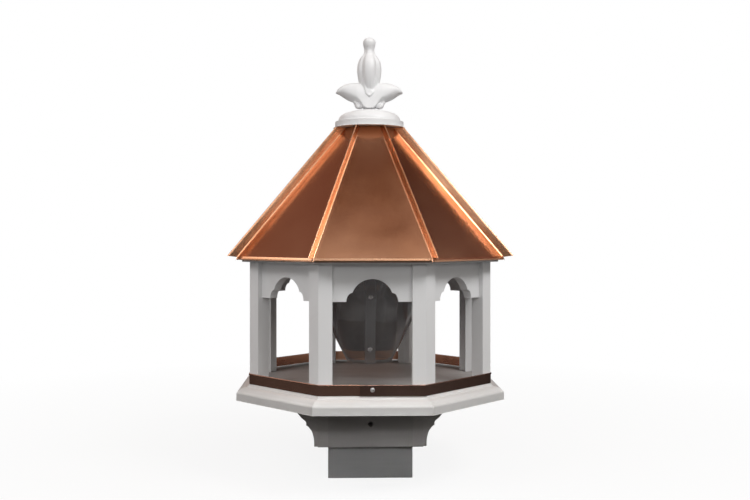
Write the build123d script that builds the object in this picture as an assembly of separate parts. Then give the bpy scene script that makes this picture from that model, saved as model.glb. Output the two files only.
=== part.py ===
from build123d import *
import math
import os

# Octagonal gazebo bird feeder on a sleeve for a square timber post.
# Millimetres. Origin: centre of the sleeve's bottom rim. +Z up, front faces -Y.

# ---- mount ----
POST_SOCKET = 91.6          # inner square of the sleeve, for an 89 mm (4x4) post
SLEEVE_T = 12.7             # sleeve board thickness
SLEEVE_W = POST_SOCKET + 2 * SLEEVE_T
FLOOR_Z = 111.0             # underside of the floor board
COLLAR_Z = 45.7             # underside of the collar
COLLAR_T = 13.0             # front and back collar boards
COLLAR_SIDE_T = 14.0        # left and right collar boards
COLLAR_SIDE_L = 143.0
CORBEL_L = 131.0            # length of the side corbel mouldings
FIX_HOLE_R = 3.5            # fixing-screw hole through collar and sleeve
FIX_HOLE_Z = 77.0

# ---- tray ----
FLOOR_T = 19.0
FLOOR_A = 166.3             # floor board apothem
DECK_Z = FLOOR_Z + FLOOR_T
LIP_W = 16.6                # moulding projection beyond the floor board
RAIL_A = 165.45             # inner apothem of the copper rail
RAIL_T = 0.7
RAIL_Z0, RAIL_Z1 = 132.6, 147.0
RAIL_LAP = 16.5             # half length of each lap
RAIL_HEM_H, RAIL_HEM_T = 2.0, 0.8
RAIL_SCREW_Z = 140.6

# ---- body ----
POST_R = 179.0              # posts' outer corner, from the axis
POST_FACE = 17.6            # face width each side of the corner
POST_T = 19.0
EAVE_Z = 300.0              # top of posts and arch boards
ARCH_T = 12.7
ARCH_RECESS = 6.35
ARCH_Z = 251.2              # bottom edge of the arch boards
ARCH_HALF = 33.1
CUSP_X, CUSP_Z = 25.3, 262.7
ARCH_TOP_Z = 280.4

# ---- roof ----
BASE_T = 12.7               # roof base board
BASE_R = 190.0
BASE_HOLE_R = 114.5
COPPER_T = 0.6
EAVE_A = 182.0              # panel apothem at the eave fold
EAVE_FOLD_Z = 306.5
HEM_Z = 302.5
APEX_A = 34.0               # panel apothem at the apex
APEX_Z = 491.0
SEAM_H = 12.0               # standing seam height, square to the hip
SEAM_OVERHANG = 7.8         # crest runs past the root at the eave
SEAM_TOP_Z = 490.6
RAFTER_W, RAFTER_D = 10.0, 18.0
COLLAR_A = 30.0             # apex collar apothem, square to the hips
COLLAR_BORE_R = 25.4
APEX_COLLAR_H = 36.0

# ---- hopper ----
CONE_Z0 = 154.6
CONE_R0 = 31.5              # inner radius at the bottom rim
CONE_SLOPE = 0.505
CONE_T = 0.9
LAP_W = 14.6
RIVET_ZS = (177.0, 253.0)

# ---- finial cap ----
CAP_R = 49.6
PLUG_R = 24.8
PLUG_L = 20.0
STUD_R = 3.0

C8 = math.cos(math.radians(22.5))
S8 = math.sin(math.radians(22.5))
T8 = S8 / C8
SIDES = ["front", "front_right", "right", "back_right", "back", "back_left", "left", "front_left"]
POSTS = ["front_right", "right_front", "right_back", "back_right", "back_left", "left_back", "left_front", "front_left"]

os.makedirs("parts", exist_ok=True)


def save(shape, name):
    if isinstance(shape, (list, tuple)):
        shape = Compound(children=list(shape))
    export_step(shape, f"parts/{name}.step")


def prism(points, z0, z1):
    """Plan polygon raised from z0 to z1."""
    face = Face(Wire.make_polygon([Vector(x, y, z0) for x, y in points], close=True))
    return Solid.extrude(face, Vector(0, 0, z1 - z0))


def sweep_flat(points3, direction):
    """Planar 3-D polygon pushed along a vector."""
    face = Face(Wire.make_polygon([Vector(*p) for p in points3], close=True))
    return Solid.extrude(face, Vector(*direction))


def octagon(apothem):
    r = apothem / C8
    return [(r * math.cos(math.radians(22.5 + 45 * k)), r * math.sin(math.radians(22.5 + 45 * k))) for k in range(8)]


def turned(profile):
    """Profile of (r, z) points turned round the axis."""
    face = Face(Wire.make_polygon([Vector(r, 0, z) for r, z in profile], close=True))
    return Solid.revolve(face, 360, Axis.Z)


def spin(shape, degrees):
    return shape.rotate(Axis.Z, degrees)


def one(shape):
    """The single solid of a boolean result."""
    solids = shape.solids()
    return solids[0] if len(solids) == 1 else shape


def rod(r, z0, z1, x=0.0, y=0.0):
    return Solid.make_cylinder(r, z1 - z0, Plane(origin=(x, y, z0)))


# ---------------------------------------------------------------- mount
h = SLEEVE_W / 2
hi = POST_SOCKET / 2


def fix_hole(sign):
    """Clearance hole through the collar and sleeve, front (-1) or back (+1)."""
    return Solid.make_cylinder(FIX_HOLE_R, 60, Plane(origin=(0, sign * 40, FIX_HOLE_Z), z_dir=(0, sign, 0)))


for side, sign in (("front", -1), ("back", 1)):
    y0, y1 = sorted((sign * hi, sign * h))
    board = prism([(-h, y0), (h, y0), (h, y1), (-h, y1)], 0, FLOOR_Z)
    save(one(board - fix_hole(sign)), f"sleeve_{side}")
    y0, y1 = sorted((sign * h, sign * (h + COLLAR_T)))
    board = prism([(-h, y0), (h, y0), (h, y1), (-h, y1)], COLLAR_Z, FLOOR_Z)
    save(one(board - fix_hole(sign)), f"collar_{side}")

# crown and cove profile: projection from the sleeve's side face, and height
CORBEL = [(COLLAR_SIDE_T, COLLAR_Z), (18.6, COLLAR_Z), (18.9, 55.0), (20.3, 61.5), (22.0, 66.5), (24.5, 70.2), (27.3, 73.4),
          (29.6, 74.8), (29.6, 78.5), (31.4, 81.2), (35.5, 84.4), (39.3, 88.8), (44.0, 94.5), (48.6, 100.0), (51.0, 104.5),
          (51.5, 107.0), (51.5, FLOOR_Z), (COLLAR_SIDE_T, FLOOR_Z)]
for side, sign in (("left", -1), ("right", 1)):
    x0, x1 = sorted((sign * hi, sign * h))
    save(prism([(x0, -hi), (x1, -hi), (x1, hi), (x0, hi)], 0, FLOOR_Z), f"sleeve_{side}")
    x0, x1 = sorted((sign * h, sign * (h + COLLAR_SIDE_T)))
    hl = COLLAR_SIDE_L / 2
    save(prism([(x0, -hl), (x1, -hl), (x1, hl), (x0, hl)], COLLAR_Z, FLOOR_Z), f"collar_{side}")
    pts = [(sign * (h + p), -CORBEL_L / 2, z) for p, z in CORBEL]
    save(sweep_flat(pts, (0, CORBEL_L, 0)), f"corbel_{side}")


# ---------------------------------------------------------------- screws into the posts
POST_SCREW_R = 168.7        # on each post's section


def post_screw(up, grow=0.0):
    """Countersunk screw at one corner, driven up through the floor or down through the roof base."""
    x, y = POST_SCREW_R, 0.0
    if up:
        z, s = FLOOR_Z, 1
    else:
        z, s = EAVE_Z + BASE_T, -1
    profile = [(0, 0), (4.0 + grow, 0), (2.0 + grow, 3.0), (2.0 + grow, 40.0 + grow), (0, 42.0 + grow)]
    face = Face(Wire.make_polygon([Vector(r, 0, s * t) for r, t in profile], close=True))
    return Solid.revolve(face, 360, Axis.Z).moved(Location((x, y, z)))


screw_up, screw_down = post_screw(True), post_screw(False)
hole_up, hole_down = post_screw(True, 0.05), post_screw(False, 0.05)
save([spin(s, 22.5 + 45 * k) for k in range(8) for s in (screw_up, screw_down)], "post_screws")

# ---------------------------------------------------------------- tray
floor = prism(octagon(FLOOR_A), FLOOR_Z, DECK_Z)
for k in range(8):
    floor = floor - spin(hole_up, 22.5 + 45 * k)
save(one(floor), "floor_board")

# moulding profile: distance out from the floor's edge, and height
LIP = [(0.0, FLOOR_Z), (LIP_W, FLOOR_Z), (LIP_W, 120.4), (16.1, 122.0), (14.9, 123.3), (13.4, 124.0), (12.6, 124.9),
       (10.8, 126.3), (8.4, 127.5), (5.8, 128.2), (3.4, 128.4), (2.6, 128.6), (2.2, 129.4), (2.2, DECK_Z), (0.0, DECK_Z)]
half = (FLOOR_A + LIP_W) * T8 + 5
bar = sweep_flat([(-half, -(FLOOR_A + u), z) for u, z in LIP], (2 * half, 0, 0))
GAP = 0.02
wedge = prism([(0, -GAP / S8), (400 * T8, -400 - GAP / S8), (-400 * T8, -400 - GAP / S8)], 90, 520)
lip = one(bar & wedge)
for k, side in enumerate(SIDES):
    save(spin(lip, 45 * k), f"tray_moulding_{side}")


def strip(path, t, z0, z1):
    """Sheet strip on edge: open plan path on its inner face, thickness t to the right of travel, mitred."""
    outer = []
    for i, p in enumerate(path):
        if i in (0, len(path) - 1):
            a, b = (path[0], path[1]) if i == 0 else (path[-2], path[-1])
            d = Vector(b[0] - a[0], b[1] - a[1]).normalized()
            outer.append((p[0] + d.Y * t, p[1] - d.X * t))
        else:
            d0 = Vector(p[0] - path[i - 1][0], p[1] - path[i - 1][1]).normalized()
            d1 = Vector(path[i + 1][0] - p[0], path[i + 1][1] - p[1]).normalized()
            n = Vector(d0.Y + d1.Y, -(d0.X + d1.X)).normalized()
            c = n.X * d0.Y - n.Y * d0.X
            outer.append((p[0] + n.X * t / c, p[1] + n.Y * t / c))
    return prism(list(path) + outer[::-1], z0, z1)


def rail(path):
    body = strip(path, RAIL_T, RAIL_Z0, RAIL_Z1)
    hem = strip(path, RAIL_T + RAIL_HEM_T, RAIL_Z1 - RAIL_HEM_H, RAIL_Z1)
    return one(body + hem)


ao = RAIL_A + RAIL_T + 0.05      # inner apothem of the outer strip at the laps
corner = RAIL_A * math.sqrt(2)
right_path = [(-RAIL_LAP, -ao - RAIL_HEM_T), (corner - ao - RAIL_HEM_T, -ao - RAIL_HEM_T), (RAIL_A, -RAIL_A * T8), (RAIL_A, RAIL_A * T8),
              (corner - ao - RAIL_HEM_T, ao + RAIL_HEM_T), (-RAIL_LAP, ao + RAIL_HEM_T)]
left_path = [(RAIL_LAP, RAIL_A), (-RAIL_A * T8, RAIL_A), (-RAIL_A, RAIL_A * T8), (-RAIL_A, -RAIL_A * T8), (-RAIL_A * T8, -RAIL_A), (RAIL_LAP, -RAIL_A)]


def rail_screw(sign, grow=0.0):
    """Pan-head screw through a lap, front (-1) or back (+1)."""
    y = ao + RAIL_HEM_T + RAIL_T
    profile = [(0, 2.0), (1.6, 1.9), (2.6, 1.2), (2.9, 0.35), (2.9, 0.0), (1.3 + grow, 0.0), (1.3 + grow, -7.0), (0, -8.5)]
    face = Face(Wire.make_polygon([Vector(r, 0, t) for r, t in profile], close=True))
    s = Solid.revolve(face, 360, Axis.Z)
    return s.moved(Plane(origin=(0, sign * y, RAIL_SCREW_Z), z_dir=(0, sign, 0)).location)


rail_right = rail(right_path)
rail_left = rail(left_path)
for sign in (-1, 1):
    rail_right = rail_right - rail_screw(sign, 0.05)
    rail_left = rail_left - rail_screw(sign, 0.05)
save(one(rail_right), "seed_rail_right")
save(one(rail_left), "seed_rail_left")
save([rail_screw(-1), rail_screw(1)], "rail_screws")

# ---------------------------------------------------------------- posts
# section drawn at the corner on +X: outer corner, two outer faces, returns, inner corner
tx, ty = math.sin(math.radians(22.5)), math.cos(math.radians(22.5))
v = (POST_R, 0.0)
a1 = (v[0] - POST_FACE * tx, POST_FACE * ty)
a2 = (v[0] - POST_FACE * tx, -POST_FACE * ty)
b1 = (a1[0] - POST_T * ty, a1[1] - POST_T * tx)
b2 = (a2[0] - POST_T * ty, a2[1] + POST_T * tx)
w = (POST_R - POST_T / ty, 0.0)
post = prism([v, a1, b1, w, b2, a2], DECK_Z, EAVE_Z)
post = one(post - hole_up - hole_down)
for k, name in enumerate(POSTS):
    save(spin(post, -67.5 + 45 * k), f"corner_post_{name}")

# ---------------------------------------------------------------- arch boards
bay = POST_R * S8 - POST_FACE - 0.04
yf = -(POST_R * C8 - ARCH_RECESS)
arch_edge = []
n = 10
for i in range(n + 1):           # right lobe, a quarter ellipse up to the cusp
    t = math.radians(90 * i / n)
    arch_edge.append((CUSP_X + (ARCH_HALF - CUSP_X) * math.cos(t), ARCH_Z + (CUSP_Z - ARCH_Z) * math.sin(t)))
rise = ARCH_TOP_Z - CUSP_Z
ra = (CUSP_X ** 2 + rise ** 2) / (2 * rise)
t0 = math.atan2(CUSP_Z - (ARCH_TOP_Z - ra), CUSP_X)
m = 24
for i in range(1, m):            # round head
    t = t0 + (math.pi - 2 * t0) * i / m
    arch_edge.append((ra * math.cos(t), ARCH_TOP_Z - ra + ra * math.sin(t)))
for i in range(n, -1, -1):       # left lobe
    t = math.radians(90 * i / n)
    arch_edge.append((-CUSP_X - (ARCH_HALF - CUSP_X) * math.cos(t), ARCH_Z + (CUSP_Z - ARCH_Z) * math.sin(t)))
outline = [(bay, ARCH_Z)] + arch_edge + [(-bay, ARCH_Z), (-bay, EAVE_Z), (bay, EAVE_Z)]
arch = sweep_flat([(x, yf, z) for x, z in outline], (0, ARCH_T, 0))
for k, side in enumerate(SIDES):
    save(spin(arch, 45 * k), f"arch_board_{side}")

# ---------------------------------------------------------------- hopper
ca = 1 / math.sqrt(1 + CONE_SLOPE ** 2)
sa = CONE_SLOPE * ca
TAB_Z = EAVE_Z + BASE_T


def cone_r(z):
    return CONE_R0 + CONE_SLOPE * (z - CONE_Z0)


def shell(off0, off1, z0, z1):
    """Conical sheet between two offsets from the funnel's inner face."""
    return turned([(cone_r(z0) + off0 / ca, z0), (cone_r(z0) + off1 / ca, z0), (cone_r(z1) + off1 / ca, z1), (cone_r(z1) + off0 / ca, z1)])


cone = shell(0, CONE_T, CONE_Z0, TAB_Z + CONE_T)
lap = shell(CONE_T - 0.05, 2 * CONE_T, CONE_Z0, TAB_Z - 1.0)
lap = lap & prism([(-LAP_W / 2, -130), (LAP_W / 2, -130), (LAP_W / 2, 0), (-LAP_W / 2, 0)], 100, 400)
cone = cone + lap
r_tab = cone_r(TAB_Z)
TAB_SCREW_R = r_tab + 7.5
for k in range(8):
    tab = prism([(r_tab + 0.2, -7), (r_tab + 13, -7), (r_tab + 13, 7), (r_tab + 0.2, 7)], TAB_Z, TAB_Z + CONE_T)
    cone = cone + spin(tab, 22.5 + 45 * k)


def tab_screw(grow=0.0):
    profile = [(0, 2.4), (2.0, 2.2), (3.3, 1.4), (3.6, 0.5), (3.6, 0.0), (1.5 + grow, 0.0), (1.5 + grow, -9.0), (0, -10.5)]
    face = Face(Wire.make_polygon([Vector(r, 0, t) for r, t in profile], close=True))
    return Solid.revolve(face, 360, Axis.Z).moved(Location((TAB_SCREW_R, 0, TAB_Z + CONE_T)))


def rivet(z, grow=0.0):
    """Pop rivet square to the funnel at the front lap."""
    r = cone_r(z)
    t = 2 * CONE_T
    if grow:
        profile = [(0, t + 3), (1.65 + grow, t + 3), (1.65 + grow, -3), (0, -3)]
    else:
        profile = [(1.1, t + 1.1), (2.0, t + 1.05), (3.0, t + 0.6), (3.3, t + 0.1), (3.3, t), (1.65, t), (1.65, -0.2), (2.6, -0.2),
                   (2.6, -1.6), (1.9, -2.4), (0, -2.4), (0, -0.5), (1.1, -0.5)]
    face = Face(Wire.make_polygon([Vector(p, 0, q) for p, q in profile], close=True))
    s = Solid.revolve(face, 360, Axis.Z)
    return s.moved(Plane(origin=(0, -r, z), x_dir=(1, 0, 0), z_dir=(0, -ca, -sa)).location)


for z in RIVET_ZS:
    cone = cone - rivet(z, 0.05)
for k in range(8):
    cone = cone - spin(tab_screw(0.05), 22.5 + 45 * k)
save(one(cone), "hopper_cone")
save([rivet(z) for z in RIVET_ZS], "hopper_rivets")
save([spin(tab_screw(), 22.5 + 45 * k) for k in range(8)], "hopper_tab_screws")

# ---------------------------------------------------------------- roof
base = prism(octagon(BASE_R * C8), EAVE_Z, EAVE_Z + BASE_T) - rod(BASE_HOLE_R, EAVE_Z - 5, EAVE_Z + BASE_T + 5)
for k in range(8):
    base = base - spin(hole_down, 22.5 + 45 * k) - spin(tab_screw(0.05), 22.5 + 45 * k)
save(one(base), "roof_base_board")

# hip line: outer copper surface along each corner
R0, Z0 = EAVE_A / C8, EAVE_FOLD_Z
R1, Z1 = APEX_A / C8, APEX_Z
L = math.hypot(R1 - R0, Z1 - Z0)
ux, uz = (R1 - R0) / L, (Z1 - Z0) / L       # up the hip
nx, nz = uz, -ux                            # square to the hip, outwards and up


def hip(s, q):
    """Point s along the hip from the eave and q square off it, as (r, z)."""
    return (R0 + ux * s + nx * q, Z0 + uz * s + nz * q)


def hip_at_z(z, q):
    s = (z - Z0 - nz * q) / uz
    return hip(s, q)


def fin(angle, side, off0, off1, q0, q1, lean=True):
    """Upright strip along the hip at an angle, between two lateral offsets, from height q0 to q1."""
    d0 = -SEAM_OVERHANG * q0 / SEAM_H if lean else 0
    d1 = -SEAM_OVERHANG * q1 / SEAM_H if lean else 0
    pts = [hip(d0 if q0 > 0 else 0.6, q0), hip(d1, q1), hip_at_z(SEAM_TOP_Z, q1), hip_at_z(SEAM_TOP_Z, q0)]
    a = math.radians(angle)
    u = (math.cos(a), math.sin(a))
    wv = (-math.sin(a) * side, math.cos(a) * side)
    pts3 = [(u[0] * r + wv[0] * off0, u[1] * r + wv[1] * off0, z) for r, z in pts]
    return sweep_flat(pts3, (wv[0] * (off1 - off0), wv[1] * (off1 - off0), 0))


pitch = math.atan2(APEX_Z - EAVE_FOLD_Z, EAVE_A - APEX_A)
sp, cp = math.sin(pitch), math.cos(pitch)
top_a = EAVE_A - (SEAM_TOP_Z - EAVE_FOLD_Z) / math.tan(pitch)
slab = sweep_flat([(-120, -EAVE_A, EAVE_FOLD_Z), (120, -EAVE_A, EAVE_FOLD_Z), (120, -top_a, SEAM_TOP_Z), (-120, -top_a, SEAM_TOP_Z)],
                  (0, sp * COPPER_T, -cp * COPPER_T))
hem = sweep_flat([(-120, -EAVE_A, HEM_Z), (-120, -EAVE_A, EAVE_FOLD_Z), (-120, -EAVE_A + COPPER_T, EAVE_FOLD_Z), (-120, -EAVE_A + COPPER_T, HEM_Z)], (240, 0, 0))
sheet = one((slab + hem) & wedge)
# the right edge turns up and folds over the neighbour's shorter left edge
t = COPPER_T
right_leg = fin(-67.5, -1, GAP, t + GAP, -0.4, SEAM_H)
cap = fin(-67.5, -1, t + GAP, -(2 * t + 3 * GAP), SEAM_H - t, SEAM_H)
flap = fin(-67.5, -1, -(t + 3 * GAP), -(2 * t + 3 * GAP), SEAM_H - 5.0, SEAM_H)
left_leg = fin(-112.5, 1, GAP, t + GAP, -0.4, SEAM_H - t - 0.1)
panel = sheet + right_leg + cap + flap + left_leg
trim = prism([(-300, -300), (300, -300), (300, 300), (-300, 300)], SEAM_TOP_Z, 560)
panel = one(panel - trim)
for k, side in enumerate(SIDES):
    save(spin(panel, 45 * k), f"roof_panel_{side}")

# rafters under the hips
drop = (RAFTER_W / 2) * S8 * math.tan(pitch) + COPPER_T / cp + 0.3
slope = uz / -ux


def rafter_z(r):
    return Z0 + (R0 - r) * slope - drop


depth = RAFTER_D * math.hypot(1, slope)
zb = EAVE_Z + BASE_T
r_out = R0 - (zb + drop - Z0) / slope
r_in = R0 - (zb + depth + drop - Z0) / slope
top = 489.8
r_head = COLLAR_A + 0.04
r_cut = R0 - (top + drop - Z0) / slope
outline = [(r_in, zb), (r_out, zb), (r_cut, top), (r_head, top), (r_head, rafter_z(r_head) - depth)]
rafter = sweep_flat([(r, -RAFTER_W / 2, z) for r, z in outline], (0, RAFTER_W, 0))
save([spin(rafter, 22.5 + 45 * k) for k in range(8)], "hip_rafters")

collar = prism([(x, y) for x, y in octagon(COLLAR_A)], APEX_Z - APEX_COLLAR_H, APEX_Z)
collar = spin(collar, 22.5)
collar = one(collar - rod(COLLAR_BORE_R, 400, 520))
save(collar, "apex_collar")

# ---------------------------------------------------------------- finial cap
STUD_Z0, STUD_Z1 = 463.0, 545.0
NUT_H = 5.0
bore = rod(STUD_R + 0.03, 400, STUD_Z1 + 0.2)
plug = turned([(0, APEX_Z - PLUG_L), (PLUG_R - 1.5, APEX_Z - PLUG_L), (PLUG_R, APEX_Z - PLUG_L + 1.5), (PLUG_R, APEX_Z), (0, APEX_Z)])
save(one(plug - bore), "finial_plug")
DOME_Z = 518.4
cap_profile = [(0, APEX_Z), (CAP_R, APEX_Z), (CAP_R, 499.7), (49.0, 500.3), (44.8, 500.5), (44.7, 503.0), (44.0, 505.2), (42.4, 507.6),
               (39.4, 510.1), (35.2, 512.3), (30.0, 514.0), (25.0, 515.2), (20.0, 516.3), (14.0, 517.4), (9.0, DOME_Z), (0, DOME_Z)]
save(one(turned(cap_profile) - bore), "finial_base")
BUD = [(0, DOME_Z), (8.5, DOME_Z), (9.0, 521.0), (8.0, 526.0), (8.6, 534.0), (11.5, 545.0), (14.8, 556.0), (16.4, 564.0), (17.4, 570.0),
       (17.7, 575.0), (17.3, 581.0), (16.2, 586.5), (14.2, 591.0), (11.4, 595.0), (8.8, 598.0), (7.6, 601.0), (7.2, 604.5), (7.6, 607.5),
       (8.5, 610.5), (9.0, 613.8), (8.9, 616.6), (8.0, 619.3), (6.0, 621.3), (3.4, 622.2), (0, 622.4)]
PETAL = [(4, 556.8), (26.8, 556.4), (34.0, 555.0), (41.3, 551.3), (45.7, 547.7), (48.6, 542.6), (48.0, 541.2), (43.0, 538.7), (37.0, 534.4),
         (32.6, 531.5), (25.4, 528.6), (22.8, 526.4), (22.0, 522.1), (20.0, 519.8), (12.3, 519.4), (4, 519.4)]
PETAL_W = 22.0
finial = turned(BUD)
petal = sweep_flat([(x, -PETAL_W / 2, z) for x, z in PETAL], (0, PETAL_W, 0))
# a wing to each side, tapering towards its tip in plan
taper = prism([(0, -11.5), (22, -11.5), (38, -8.0), (46, -3.5), (49, -1.5), (49, 1.5), (46, 3.5), (38, 8.0), (22, 11.5), (0, 11.5)], 500, 600)
petal = one(petal & taper)
for k in (0, 2):
    finial = finial + spin(petal, 90 * k)
save(one(finial - bore), "finial")
save(rod(STUD_R, STUD_Z0, STUD_Z1), "finial_stud")
nut = prism([(5.77 * math.cos(math.radians(60 * k)), 5.77 * math.sin(math.radians(60 * k))) for k in range(6)], APEX_Z - PLUG_L - NUT_H, APEX_Z - PLUG_L)
save(one(nut - bore), "finial_nut")
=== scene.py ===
import math

import bmesh
import bpy
from mathutils import Matrix, Vector, noise


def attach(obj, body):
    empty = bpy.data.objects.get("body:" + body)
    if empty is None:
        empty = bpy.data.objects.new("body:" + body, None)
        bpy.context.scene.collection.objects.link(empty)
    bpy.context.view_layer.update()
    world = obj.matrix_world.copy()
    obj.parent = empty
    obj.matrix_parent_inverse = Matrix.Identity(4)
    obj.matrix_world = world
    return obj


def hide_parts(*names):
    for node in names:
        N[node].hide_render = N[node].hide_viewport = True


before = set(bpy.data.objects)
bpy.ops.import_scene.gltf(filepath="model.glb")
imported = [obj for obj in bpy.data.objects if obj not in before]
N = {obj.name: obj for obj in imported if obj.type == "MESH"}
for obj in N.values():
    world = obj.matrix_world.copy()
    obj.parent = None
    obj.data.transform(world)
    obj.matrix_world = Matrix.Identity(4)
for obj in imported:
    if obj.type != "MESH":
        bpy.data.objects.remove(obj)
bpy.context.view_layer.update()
MM = 0.001
BODY, CAP = "feeder", "finial_cap"
SIDES = ["front", "front_right", "right", "back_right", "back", "back_left", "left", "front_left"]
POSTS = ["front_right", "right_front", "right_back", "back_right", "back_left", "left_back", "left_front", "front_left"]
C8, S8 = math.cos(math.radians(22.5)), math.sin(math.radians(22.5))
T8 = S8 / C8
scene = bpy.context.scene

# ------------------------------------------------------------------ camera
cam_data = bpy.data.cameras.new("camera")
cam = bpy.data.objects.new("camera", cam_data)
scene.collection.objects.link(cam)
scene.camera = cam
CAM_AZ = math.radians(-1.4)
CAM_DIST, CAM_Z = 1.307, 0.3366
cam.location = (math.sin(CAM_AZ) * CAM_DIST, -math.cos(CAM_AZ) * CAM_DIST, CAM_Z)
cam.rotation_euler = (math.radians(90), 0, CAM_AZ)
cam_data.sensor_width = 36
cam_data.lens = 901 / 750 * 36
cam_data.shift_x = 5.7 / 750
cam_data.shift_y = -15 / 750
cam_data.clip_start, cam_data.clip_end = 0.01, 50


# ------------------------------------------------------------------ node helpers
class Tree:
    """A few short words for building node trees."""

    def __init__(self, name):
        self.mat = bpy.data.materials.new(name)
        self.mat.use_nodes = True
        self.nt = self.mat.node_tree
        self.bsdf = self.nt.nodes["Principled BSDF"]
        self.coord = self.add("ShaderNodeTexCoord")

    def add(self, kind, **props):
        n = self.nt.nodes.new(kind)
        for k, v in props.items():
            setattr(n, k, v)
        return n

    def link(self, a, b):
        self.nt.links.new(a, b)

    def set(self, **values):
        for k, v in values.items():
            self.bsdf.inputs[k.replace("_", " ")].default_value = v

    def mapped(self, scale=(1, 1, 1), rot=(0, 0, 0), source="Object"):
        m = self.add("ShaderNodeMapping")
        m.inputs["Scale"].default_value = scale
        m.inputs["Rotation"].default_value = rot
        self.link(self.coord.outputs[source], m.inputs["Vector"])
        return m.outputs["Vector"]

    def noise(self, scale, detail=2.0, rough=0.5, vector=None, distortion=0.0):
        n = self.add("ShaderNodeTexNoise")
        n.inputs["Scale"].default_value = scale
        n.inputs["Detail"].default_value = detail
        n.inputs["Roughness"].default_value = rough
        n.inputs["Distortion"].default_value = distortion
        self.link(vector if vector is not None else self.coord.outputs["Object"], n.inputs["Vector"])
        return n.outputs["Fac"]

    def ramp(self, fac, stops):
        r = self.add("ShaderNodeValToRGB")
        el = r.color_ramp.elements
        while len(el) > 1:
            el.remove(el[-1])
        el[0].position = stops[0][0]
        el[0].color = (*stops[0][1], 1)
        for p, c in stops[1:]:
            e = el.new(p)
            e.color = (*c, 1)
        self.link(fac, r.inputs["Fac"])
        return r.outputs["Color"]

    def span(self, fac, lo, hi, a=0.0, b=1.0):
        m = self.add("ShaderNodeMapRange")
        m.inputs["From Min"].default_value = a
        m.inputs["From Max"].default_value = b
        m.inputs["To Min"].default_value = lo
        m.inputs["To Max"].default_value = hi
        self.link(fac, m.inputs["Value"])
        return m.outputs["Result"]

    def math(self, op, a, b=None):
        m = self.add("ShaderNodeMath", operation=op)
        for i, v in enumerate((a, b)):
            if v is None:
                continue
            if isinstance(v, (int, float)):
                m.inputs[i].default_value = v
            else:
                self.link(v, m.inputs[i])
        return m.outputs[0]

    def mix(self, fac, a, b, blend="MIX"):
        m = self.add("ShaderNodeMix", data_type="RGBA", blend_type=blend)
        m.clamp_factor = True
        for sock, v in ((m.inputs["Factor"], fac), (m.inputs[6], a), (m.inputs[7], b)):
            if isinstance(v, (int, float)):
                sock.default_value = v
            elif isinstance(v, tuple):
                sock.default_value = (*v, 1)
            else:
                self.link(v, sock)
        return m.outputs[2]

    def bump(self, height, strength, distance, after=None):
        b = self.add("ShaderNodeBump")
        b.inputs["Strength"].default_value = strength
        b.inputs["Distance"].default_value = distance
        self.link(height, b.inputs["Height"])
        if after is not None:
            self.link(after, b.inputs["Normal"])
        return b.outputs["Normal"]

    def to(self, socket, name):
        self.link(socket, self.bsdf.inputs[name])


def edge_highlight_mask(t, lo=0.52, hi=0.60):
    """Painted highlight along sharp outer edges, from the mesh's own curvature."""
    g = t.add("ShaderNodeNewGeometry")
    return t.span(g.outputs["Pointiness"], 0.0, 1.0, lo, hi)


# ------------------------------------------------------------------ materials
def make_copper(name, base_lo, base_hi, rough_lo, rough_hi, grain=(1.0, 1.0, 1.0), tarnish=0.10):
    t = Tree(name)
    t.set(Metallic=1.0)
    broad = t.noise(7.0, 2.0, 0.5)
    mott = t.noise(38.0, 3.0, 0.55, distortion=0.3)
    streak = t.noise(420.0, 2.0, 0.5, vector=t.mapped(scale=grain))
    col = t.ramp(broad, [(0.30, base_lo), (0.72, base_hi)])
    col = t.mix(t.span(mott, 0.0, tarnish, 0.50, 0.80), col, tuple(c * f for c, f in zip(base_lo, (0.80, 0.70, 0.66))))
    col = t.mix(t.span(streak, 0.0, 0.07, 0.45, 0.75), col, base_hi)
    t.to(col, "Base Color")
    r = t.math("ADD", t.span(broad, rough_lo, rough_hi, 0.3, 0.7), t.span(streak, -0.012, 0.014, 0.3, 0.7))
    r = t.math("ADD", r, t.span(mott, 0.0, 0.02, 0.5, 0.8))
    t.to(r, "Roughness")
    t.to(t.bump(streak, 0.03, 0.00002), "Normal")
    return t.mat


COPPER = make_copper("copper_sheet", (0.755, 0.385, 0.215), (0.83, 0.475, 0.30), 0.20, 0.25, grain=(1.0, 1.0, 0.12))
COPPER_RAIL = make_copper("copper_rail", (0.46, 0.26, 0.19), (0.60, 0.35, 0.27), 0.15, 0.21, grain=(0.10, 0.10, 1.0), tarnish=0.35)
# painted light: a brighter copper for the middle of the rail's inner face; the next one is its darker copy for the
# sides
COPPER_INNER_LIT = make_copper("copper_rail_inside", (0.80, 0.44, 0.29), (0.87, 0.53, 0.37), 0.36, 0.44, grain=(0.10, 0.10, 1.0), tarnish=0.10)
COPPER_INNER_SIDE = make_copper("copper_rail_inside_side", (0.46, 0.22, 0.145), (0.56, 0.29, 0.19), 0.26, 0.32, grain=(0.10, 0.10, 1.0), tarnish=0.35)
COPPER_RAIL_DARK = make_copper("copper_rail_dark", (0.27, 0.165, 0.13), (0.38, 0.235, 0.19), 0.15, 0.21, grain=(0.10, 0.10, 1.0), tarnish=0.35)


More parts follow.
